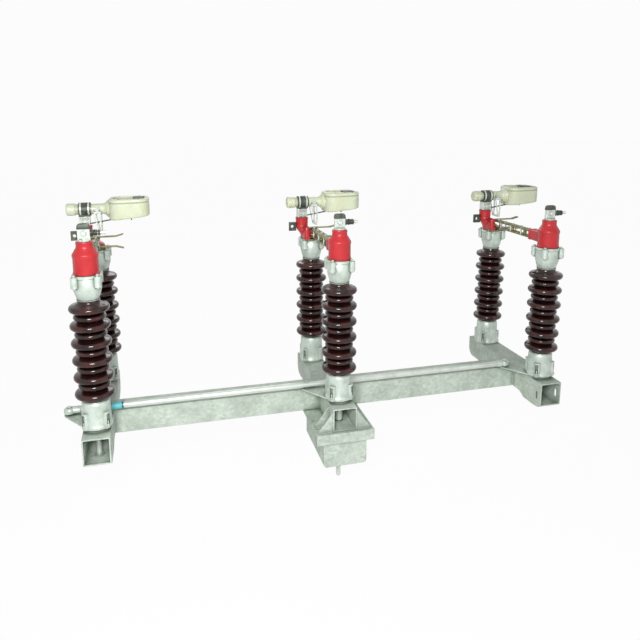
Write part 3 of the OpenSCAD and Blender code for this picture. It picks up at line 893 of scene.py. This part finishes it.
def build_boots():
    """Red boots on the fixed posts: circles whose centre slides sideways as they rise."""
    low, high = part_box("rear_boots")
    start, shift, foot_r, top_r = -0.009, -0.042, 0.038, 0.027
    t = np.linspace(0, 1, 34)
    slide = np.clip((t - 0.08) / 0.46, 0, 1)
    slide = slide * slide * (3 - 2 * slide)
    waist = 0.0012 * np.sin(t * math.pi) ** 2
    lip = 0.0016 * np.exp(-((t - 0.96) / 0.025) ** 2)
    fold = 0.0013 * np.exp(-((t - 0.56) / 0.05) ** 2)
    radius = foot_r + (top_r - foot_r) * slide - waist + lip + fold
    radius = np.minimum(radius, foot_r) - 0.002 * np.clip(1 - t / 0.02, 0, 1)
    heights = low.z + (high.z - low.z) * t
    turn = np.linspace(0, 2 * math.pi, 56, endpoint=False)
    circle = np.stack([np.cos(turn), np.sin(turn)], axis=1)
    shell = Shell()
    for pole in POLES:
        x = POLE_X[pole]
        rows = [level(circle * 0, x + start, REAR_Y, heights[0])]
        for z, r, s in zip(heights, radius, slide):
            rows.append(level(circle * r, x + start + (shift - start) * s, REAR_Y, z))
        rows.append(level(circle * 0, x + shift, REAR_Y, heights[-1]))
        shell.grid(np.array(rows))
        cheek(shell, x - 0.030, REAR_Y - 0.030, low.z + 0.0002)
    shell.made("rear_boots_moulded", "frame", "red_cover", ("rear_boots",))


# ---- contacts ----

def build_contacts():
    """Blades and jaws with rounded edges, the bolts of both and the blades' spacers."""
    edge = sizes().metal_edge
    softened("jaws", "contact_metal", edge)
    jaw_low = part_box("jaws")[0]
    rear = Shell()
    for pole in POLES:
        x = POLE_X[pole]
        softened(f"blade_{pole}", "contact_metal", edge)
        low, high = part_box(f"blade_{pole}")
        bolts, sides = Shell(), Shell()
        nut, sunk = 0.0058, 0.0004
        for y in np.linspace(high.y - 0.018, low.y + 0.075, 5):
            bolts.bolt((x, y, high.z - sunk), (0, 0, 1), nut, 0.0014)
            bolts.hexagon((x, y, low.z + sunk), (0, 0, -1), nut, 0.0036)
        bolts.made(f"blade_bolts_{pole}", f"rotor_{pole}", "bright_fittings")
        spacer_r, spacer_h = 0.0034, high.z - low.z - 0.004
        strip = [(0, 0), (spacer_r, 0), (spacer_r, spacer_h), (0, spacer_h)]
        for y in np.linspace(high.y - 0.06, low.y + 0.12, 3):
            for side in (-1, 1):
                sides.turned(strip, (x + side * 0.0125, y, low.z + 0.002), (0, 0, 1), 20)
        sides.made(f"blade_spacers_{pole}", f"rotor_{pole}", "bright_fittings")
        for px in (x - 0.030, x + 0.010):
            rear.bolt((px, jaw_low.y + 0.009, jaw_low.z + 0.006), (0, 0, 1), 0.0052, 0.0015)
    rear.made("jaw_bolts", "frame", "bright_fittings")


def strap_head(shell, x, top):
    """A dark cap folded over a strap's head: rounded rectangles carried up and drawn in like a dome."""
    outline = rounded_box(0.0212, 0.0088, 0.0035)
    shell.grid(np.array([
        level(outline * (share_x, share_y), x, FRONT_Y, top + z)
        for z, share_x, share_y in (
            (-0.019, POINT, POINT), (-0.019, 1.0, 1.0), (-0.017, 1.03, 1.04), (-0.012, 1.0, 1.0),
            (-0.0065, 0.97, 1.0), (-0.0025, 0.84, 0.92), (-0.0005, 0.62, 0.70), (0.0, POINT, POINT),
        )
    ]))


def build_terminals():
    """Terminal straps, with a cap on each head, and a lug washer and nuts on each stud."""
    dressed("lever_pins", "bright_pins")
    softened("rear_terminals", "dark_fittings", 0.0015)
    for pole in POLES:
        softened(f"terminal_{pole}", "bright_fittings", 0.0012)
        x, z = POLE_X[pole], COVER_TOP + 0.006 + 0.022
        shell, heads = Shell(), Shell()
        strap_head(shell, x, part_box(f"terminal_{pole}")[1].z + 0.0012)
        heads.washer((x, FRONT_Y - 0.0066, z - 0.001), (0, -1, 0), 0.003, 0.0105, 0.0016)
        heads.hexagon((x, FRONT_Y - 0.0080, z - 0.001), (0, -1, 0), 0.0078, 0.0050)
        bore, corner, width = 0.0068, 0.0112, 0.008
        nut = [(bore, 0), (corner, width * 0.1), (corner, width * 0.9), (bore, width)]
        for start, thick, outer in ((0.0215, 0.003, 0.0125), (0.0335, 0.0025, 0.0120)):
            shell.washer((x + start, FRONT_Y, z), (1, 0, 0), bore, outer, thick)
        for start in (0.0247, 0.0362, 0.0455):
            shell.turned(nut, (x + start, FRONT_Y, z), (1, 0, 0), 6, True)
        shell.made(f"stud_nuts_{pole}", f"terminal_{pole}", "dark_fittings")
        heads.made(f"strap_bolt_{pole}", f"terminal_{pole}", "bright_fittings")


# ---- interrupter ----

def housing_rows(x0, x1, half, low, high, rise):
    """The housing: rounded plans stacked in Z, drawn in at both rims, its floor rising towards +X."""
    bottom, top = 0.008, 0.010
    rim = high - low
    seam, groove = rim * 0.80, 0.0026
    rows = [(0, 0, POINT)]
    rows += [
        (bottom * (1 - math.sin(a)), bottom * (1 - math.cos(a)), 1)
        for a in np.radians(np.linspace(0, 90, 6))
    ]
    rows += [(0, seam - 0.003, 1), (groove, seam - 0.001, 1), (groove, seam + 0.001, 1)]
    rows += [(0, seam + 0.003, 1)]
    rows += [
        (top * (1 - math.cos(a)), rim - top + top * math.sin(a), 1)
        for a in np.radians(np.linspace(0, 90, 7))
    ]
    rows += [(0.0175, rim - 0.0004, 1), (0.0195, rim - 0.0065, 1), (0.03, rim - 0.0065, POINT)]
    places = []
    for inset, z, share in rows:
        front_r, back_r = max(0.044 - inset, 0.006), max(0.042 - inset, 0.006)
        a, b, w = x0 + inset, x1 - inset, half - inset
        outline = np.concatenate([
            arc((a + front_r, front_r - w), front_r, 180, 270, 10),
            arc((b - back_r, back_r - w), back_r, 270, 360, 10),
            arc((b - back_r, w - back_r), back_r, 0, 90, 10),
            arc((a + front_r, w - front_r), front_r, 90, 180, 10),
        ])
        centre = np.array(((a + b) / 2, 0.0))
        x, y = (centre + (outline - centre) * share).T
        lift = rise * (x - x0) / (x1 - x0) * (1 - z / rim)
        places.append(np.stack([x, y, low + z + lift], axis=1))
    return np.array(places)


def build_interrupters():
    """Housings on their tubes, each tube a turned profile from its knob, with vents and screws."""
    low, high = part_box("interrupters")
    half, tall = (high.y - low.y) / 2, high.z - low.z
    knob, reach = low.x - POLE_X["left"], high.x - POLE_X["right"]
    start, tube_r = 0.054, 0.021
    profile = np.concatenate([
        [(0, knob), (0.014, knob)], arc((0.017, knob + 0.008), 0.008, 270, 360, 6),
        [(0.025, knob + 0.010), (0.0245, knob + 0.030)],
        arc((0.0205, knob + 0.032), 0.004, 0, 70, 4), [(tube_r, knob + 0.038), (tube_r, 0.0300)],
        [(tube_r + 0.0008, 0.034), (tube_r + 0.003, 0.039), (tube_r + 0.0085, 0.045)],
        [(tube_r + 0.0145, 0.0505), (tube_r + 0.0165, 0.058), (0, 0.060)],
    ])
    rows = housing_rows(start, reach, half, high.z - tall - TUBE_Z, high.z - 0.0005 - TUBE_Z, 0.015)
    pad = rounded_box(0.020, 0.030, 0.008)
    sheet, under = 0.0068, high.z - 0.0074
    housings, panels, screws = Shell(), Shell(), Shell()
    for pole in POLES:
        x = POLE_X[pole]
        housings.turned(profile, (x, REAR_Y, TUBE_Z), (1, 0, 0), 56)
        housings.grid(rows + np.array((x, REAR_Y, TUBE_Z)))
        panels.grid(np.array([
            level(pad * share, x + reach - 0.044, REAR_Y + 0.012, under + z)
            for share, z in (
                (POINT, 0), (1, 0), (1, sheet - 0.0006), (0.92, sheet), (POINT, sheet),
            )
        ]))
        for px in (start + 0.040, reach - 0.040):
            for side in (-1, 1):
                place = (x + px, REAR_Y + side * (half - 0.0095), high.z - 0.0034)
                screws.hexagon(place, (0, 0, 1), 0.0040, 0.0030)
    housings.made("interrupter_housings", "frame", "cream_housing", ("interrupters",))
    panels.made("housing_vents", "frame", "dark_fittings")
    screws.made("housing_screws", "frame", "dark_fittings")
    for pole in POLES:
        softened(f"trip_lever_{pole}", "bright_fittings", 0.0007)


def build_clamps():
    """Clamps, brackets and straps under the interrupters, with the clamps' bands and bolts."""
    softened("tube_clamps", "dark_fittings", 0.0012)
    softened("rear_brackets", "bright_fittings", 0.0020)
    softened("support_straps", "dark_fittings", 0.0008)
    low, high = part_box("tube_clamps")
    offset = low.x - POLE_X["left"]
    length = high.x - POLE_X["right"] - offset
    r = (high.y - low.y) / 2
    ring = [(r - 0.002, 0), (r + 0.0004, 0.001), (r + 0.0004, 0.007), (r - 0.002, 0.008)]
    bracket_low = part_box("rear_brackets")[0]
    front, back, ear_z = bracket_low.y, 2 * REAR_Y - bracket_low.y, TUBE_Z - r - 0.009
    bands, bolts = Shell(), Shell()
    for pole in POLES:
        x = POLE_X[pole] + offset
        for place in (0.004, length - 0.012):
            bands.turned(ring, (x + place, REAR_Y, TUBE_Z), (1, 0, 0), 56, True)
        for place in (0.012, length - 0.016):
            bolts.bolt((x + place, front, ear_z), (0, -1, 0), 0.0058, 0.004)
            bolts.bolt((x + place, back, ear_z), (0, 1, 0), 0.0058, 0.004)
            bolts.bolt((x + place, front, bracket_low.z + 0.010), (0, -1, 0), 0.0050, 0.003)
    bands.made("clamp_bands", "frame", "bright_fittings")
    bolts.made("clamp_bolts", "frame", "bright_fittings")


# ---- stage ----

FLOOR_GLOW = 0.96  # share of the floor's own white, and the rest takes light and shadow
BACKDROP = 0.975  # the world as the camera and reflections see it
WORLD_LIGHT = 0.18  # the world as a light
CAMERA_PLACE = (-0.6512, -2.1624, 1.1719)
CAMERA_DOWN = 10.86  # degrees below level
CAMERA_RIGHT = 14.79  # degrees to the right of +Y


def floor_material():
    """A pale floor that reads as white to the camera and to reflections, and keeps a soft shadow."""
    s = Shader("pale_floor")
    s.set(Base_Color=(*colours().floor, 1), Roughness=0.9)
    path = s.node("ShaderNodeLightPath")
    glow = s.node("ShaderNodeEmission", None, {0: (1, 1, 1, 1), 1: 1.0})[0]
    seen = path["Is Camera Ray"] + path["Is Glossy Ray"] + path["Is Transmission Ray"]
    plain = Value(s, s.surface.outputs[0])
    mixed = s.node("ShaderNodeMixShader", None, {0: seen * FLOOR_GLOW, 1: plain, 2: glow})[0]
    s.tree.links.new(mixed.socket, s.output.inputs[0])
    return s.material


def add_floor():
    """A square floor just under the lowest CAD point."""
    half, gap = 40.0, 0.002
    z = CAD_BOX[0][2] - gap
    around = [(-half, -half, z), (half, -half, z), (half, half, z), (-half, half, z)]
    mesh = bpy.data.meshes.new("floor")
    mesh.from_pydata(around, [], [(0, 1, 2, 3)])
    mesh.materials.append(floor_material())
    floor = bpy.data.objects.new("floor", mesh)
    bpy.context.scene.collection.objects.link(floor)


def add_camera():
    """The camera stands left of the middle, above the posts, and looks slightly down and right."""
    data = bpy.data.cameras.new("camera")
    data.lens = 34.64
    data.sensor_width = 36
    data.shift_y = -0.125
    camera = bpy.data.objects.new("camera", data)
    camera.location = CAMERA_PLACE
    camera.rotation_euler = (math.radians(90 - CAMERA_DOWN), 0, math.radians(-CAMERA_RIGHT))
    bpy.context.scene.collection.objects.link(camera)
    bpy.context.scene.camera = camera


def add_lamp(name, place, target, watts, width):
    """A square soft lamp, tilted up from straight down and turned about Z to face its target."""
    data = bpy.data.lights.new(name, "AREA")
    data.energy = watts
    data.size = width
    lamp = bpy.data.objects.new(name, data)
    lamp.location = place
    aim = np.array(target, float) - np.array(place, float)
    tilt = math.atan2(math.hypot(aim[0], aim[1]), -aim[2])
    lamp.rotation_euler = (tilt, 0, math.atan2(-aim[0], aim[1]))
    bpy.context.scene.collection.objects.link(lamp)


def add_world():
    """A weak even light that the camera and reflections see as a white backdrop."""
    world = bpy.data.worlds.new("studio")
    bpy.context.scene.world = world
    world.use_nodes = True
    tree = world.node_tree
    back = tree.nodes["Background"]
    back.inputs[0].default_value = (1, 1, 1, 1)
    path = tree.nodes.new("ShaderNodeLightPath")
    seen = path.outputs["Is Camera Ray"]
    for name in ("Is Glossy Ray", "Is Transmission Ray"):
        either = tree.nodes.new("ShaderNodeMath")
        either.operation = "MAXIMUM"
        tree.links.new(seen, either.inputs[0])
        tree.links.new(path.outputs[name], either.inputs[1])
        seen = either.outputs[0]
    strength = tree.nodes.new("ShaderNodeMapRange")
    tree.links.new(seen, strength.inputs[0])
    strength.inputs[3].default_value = WORLD_LIGHT
    strength.inputs[4].default_value = BACKDROP
    tree.links.new(strength.outputs[0], back.inputs[1])


def build_stage():
    """The camera, the floor, the world and three lamps: key left, fill right, one behind."""
    add_camera()
    add_floor()
    add_world()
    add_lamp("key", (-0.85, -2.1, 1.5), (-0.2, 0.1, 0.4), 66, 0.8)
    add_lamp("fill", (2.8, -2.0, 1.6), (0, 0.2, 0.4), 5, 1.2)
    add_lamp("back", (0.4, 3.4, 2.6), (0, 0.2, 0.5), 22, 1.6)
    bpy.context.scene.view_settings.view_transform = "Standard"


# ---- operators ----

class SWITCH_OT_stage(bpy.types.Operator):
    """Adds the floor, the lamps and the camera."""

    bl_idname = "switch.stage"
    bl_label = "Stage"

    def execute(self, context):
        build_stage()
        return {"FINISHED"}


class SWITCH_OT_porcelains(bpy.types.Operator):
    """Builds the glazed posts."""

    bl_idname = "switch.porcelains"
    bl_label = "Porcelains"

    def execute(self, context):
        build_porcelains()
        return {"FINISHED"}


class SWITCH_OT_castings(bpy.types.Operator):
    """Finishes the post castings, their cement and nuts."""

    bl_idname = "switch.castings"
    bl_label = "Castings"

    def execute(self, context):
        build_castings()
        return {"FINISHED"}


class SWITCH_OT_steel(bpy.types.Operator):
    """Finishes the arms, the beam, the plate and the box."""

    bl_idname = "switch.steel"
    bl_label = "Steel frame"

    def execute(self, context):
        build_steel()
        return {"FINISHED"}


class SWITCH_OT_welds(bpy.types.Operator):
    """Adds the weld beads of the frame."""

    bl_idname = "switch.welds"
    bl_label = "Welds"

    def execute(self, context):
        build_welds()
        return {"FINISHED"}


class SWITCH_OT_box_fittings(bpy.types.Operator):
    """Adds the screws and the shaft gland of the mechanism box."""

    bl_idname = "switch.box_fittings"
    bl_label = "Box fittings"

    def execute(self, context):
        build_box_fittings()
        return {"FINISHED"}


class SWITCH_OT_drive(bpy.types.Operator):
    """Builds the rod, its ends and the cranks."""

    bl_idname = "switch.drive"
    bl_label = "Cranks and rod"

    def execute(self, context):
        build_drive()
        return {"FINISHED"}


class SWITCH_OT_hinge_covers(bpy.types.Operator):
    """Builds the red covers of the turning posts."""

    bl_idname = "switch.hinge_covers"
    bl_label = "Hinge covers"

    def execute(self, context):
        build_hinge_covers()
        return {"FINISHED"}


class SWITCH_OT_boots(bpy.types.Operator):
    """Builds the red boots of the fixed posts."""

    bl_idname = "switch.boots"
    bl_label = "Boots"

    def execute(self, context):
        build_boots()
        return {"FINISHED"}


class SWITCH_OT_contacts(bpy.types.Operator):
    """Finishes the blades and the jaws."""

    bl_idname = "switch.contacts"
    bl_label = "Contacts"

    def execute(self, context):
        build_contacts()
        return {"FINISHED"}


class SWITCH_OT_terminals(bpy.types.Operator):
    """Finishes the terminals and their nuts."""

    bl_idname = "switch.terminals"
    bl_label = "Terminals"

    def execute(self, context):
        build_terminals()
        return {"FINISHED"}


class SWITCH_OT_interrupters(bpy.types.Operator):
    """Builds the interrupters and trip levers."""

    bl_idname = "switch.interrupters"
    bl_label = "Interrupters"

    def execute(self, context):
        build_interrupters()
        return {"FINISHED"}


class SWITCH_OT_clamps(bpy.types.Operator):
    """Finishes the clamps and brackets."""

    bl_idname = "switch.clamps"
    bl_label = "Clamps"

    def execute(self, context):
        build_clamps()
        return {"FINISHED"}


OPERATORS = [
    SWITCH_OT_stage,
    SWITCH_OT_porcelains,
    SWITCH_OT_castings,
    SWITCH_OT_steel,
    SWITCH_OT_welds,
    SWITCH_OT_box_fittings,
    SWITCH_OT_drive,
    SWITCH_OT_hinge_covers,
    SWITCH_OT_boots,
    SWITCH_OT_contacts,
    SWITCH_OT_terminals,
    SWITCH_OT_interrupters,
    SWITCH_OT_clamps,
]


class SWITCH_PT_panel(bpy.types.Panel):
    """Lists the builders of the switch."""

    bl_label = "Load break switch"
    bl_idname = "SWITCH_PT_panel"
    bl_space_type = "VIEW_3D"
    bl_region_type = "UI"
    bl_category = "Switch"

    def draw(self, context):
        """One button for each builder."""
        for kind in OPERATORS:
            self.layout.operator(kind.bl_idname)


CLASSES = [SwitchColours, SwitchSizes, *OPERATORS, SWITCH_PT_panel]


def register():
    """Registers the classes and hangs the colours and sizes on the scene."""
    for kind in CLASSES:
        bpy.utils.register_class(kind)
    bpy.types.Scene.switch_colours = PointerProperty(type=SwitchColours)
    bpy.types.Scene.switch_sizes = PointerProperty(type=SwitchSizes)


def unregister():
    """Takes back what register did, in reverse order."""
    del bpy.types.Scene.switch_sizes
    del bpy.types.Scene.switch_colours
    for kind in reversed(CLASSES):
        bpy.utils.unregister_class(kind)


def main():
    """Builds the stage and every piece in order."""
    register()
    for kind in OPERATORS:
        getattr(bpy.ops.switch, kind.bl_idname.split(".")[1])()


if __name__ == "__main__":
    main()
